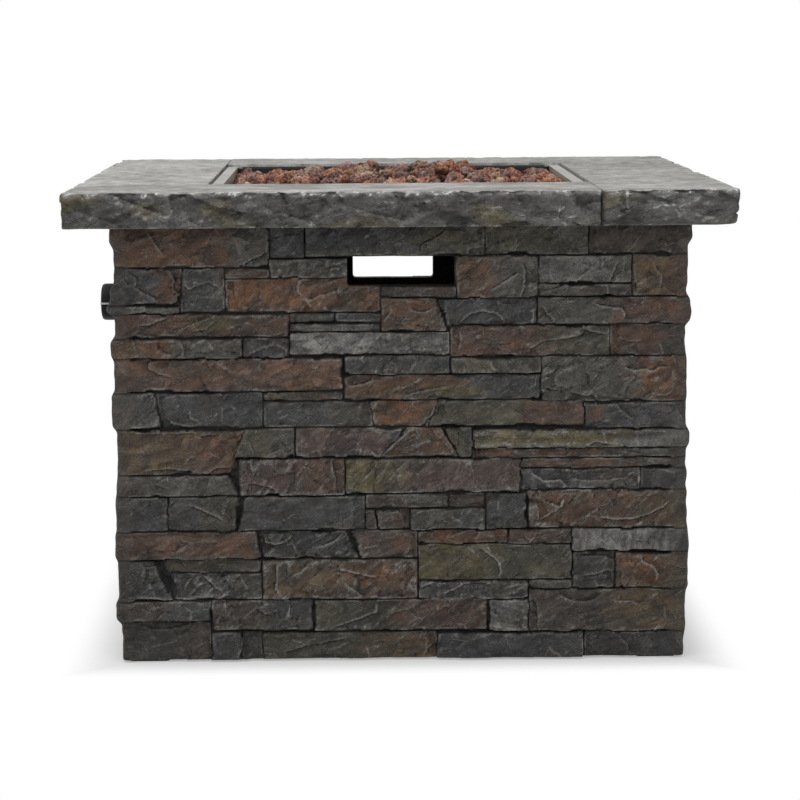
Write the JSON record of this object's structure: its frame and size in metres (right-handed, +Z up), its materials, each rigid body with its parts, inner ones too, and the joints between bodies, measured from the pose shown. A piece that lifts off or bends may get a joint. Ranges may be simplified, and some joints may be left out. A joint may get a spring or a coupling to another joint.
{
  "type": "gas fire pit",
  "caption": "Square outdoor gas fire pit: thick cast table top over a stacked-stone base, burner pan filled with lava rock, hand slot in front and a push-and-turn gas knob on one side.",
  "frame": {"origin": "on the floor, under the middle of the base", "axes": "+Z up; -Y is the front with the hand slot; the gas knob is on the wall that faces -X"},
  "size_m": [0.818, 0.818, 0.6022],
  "materials": {
    "cast_top": "cast stone, split-faced edges, matte",
    "stone_wall": "cast stacked slate, washed in slate grey, rust and olive, matte",
    "zinc_steel": "zinc plated, satin",
    "foot_rubber": "matte",
    "stainless": "brushed, matte",
    "cast_metal": "die cast, matte",
    "aluminium_pipe": "drawn, satin",
    "gasket_fibre": "compressed fibre, matte",
    "brass": "machined, satin",
    "copper": "drawn copper, satin",
    "lava": "porous, rough, matte",
    "panel_coat": "powder coat, fine texture",
    "knob_black": "moulded, satin",
    "knob_mark": "paint-filled, satin",
    "button_red": "moulded, satin",
    "cell_can": "wrapped can, gloss",
    "ceramic": "glazed"
  },
  "bodies": {
    "pit": {"table_top": "cast_top", "front_wall": "stone_wall", "back_wall": "stone_wall", "left_wall": "stone_wall", "right_wall": "stone_wall", "corner_angles": "zinc_steel", "corner_screws": "zinc_steel", "top_cleats": "zinc_steel", "cleat_screws": "zinc_steel", "foot_pads": "foot_rubber", "burner_pan": "stainless", "burner_ring": "stainless", "burner_gasket": "gasket_fibre", "burner_nut": "brass", "burner_elbow": "cast_metal", "air_mixer": "stainless", "gas_jet": "brass", "feed_pipe": "aluminium_pipe", "pipe_nuts": "brass", "lava_rocks": "lava", "control_panel": "panel_coat", "panel_screws": "zinc_steel", "valve_body": "cast_metal", "valve_nut": "zinc_steel", "inlet_fitting": "brass", "stem_spring": "zinc_steel", "igniter_housing": "knob_black", "igniter_nut": "knob_black", "igniter_battery": "cell_can", "button_spring": "zinc_steel", "sensor_bracket": "stainless", "bracket_screws": "zinc_steel", "electrode_insulator": "ceramic", "spark_electrode": "stainless", "flame_sensor": "copper"},
    "push_cap": {"spring_cap": "brass"},
    "knob": {"valve_stem": "stainless", "control_knob": "knob_black", "knob_pointer": "knob_mark"},
    "button": {"igniter_button": "button_red"}
  },
  "joints": [
    {"name": "knob_push", "type": "slide", "parent": "pit", "child": "push_cap", "axis": [1, 0, 0], "range_m": [0, 0.004], "stiffness_N_per_m": 600, "deforming": ["stem_spring"]},
    {"name": "knob_turn", "type": "hinge", "parent": "push_cap", "child": "knob", "pos_m": [-0.386, 0, 0.419], "axis": [-1, 0, 0], "range_deg": [0, 180]},
    {"name": "igniter_push", "type": "slide", "parent": "pit", "child": "button", "axis": [1, 0, 0], "range_m": [0, 0.003], "stiffness_N_per_m": 500, "deforming": ["button_spring"]}
  ]
}
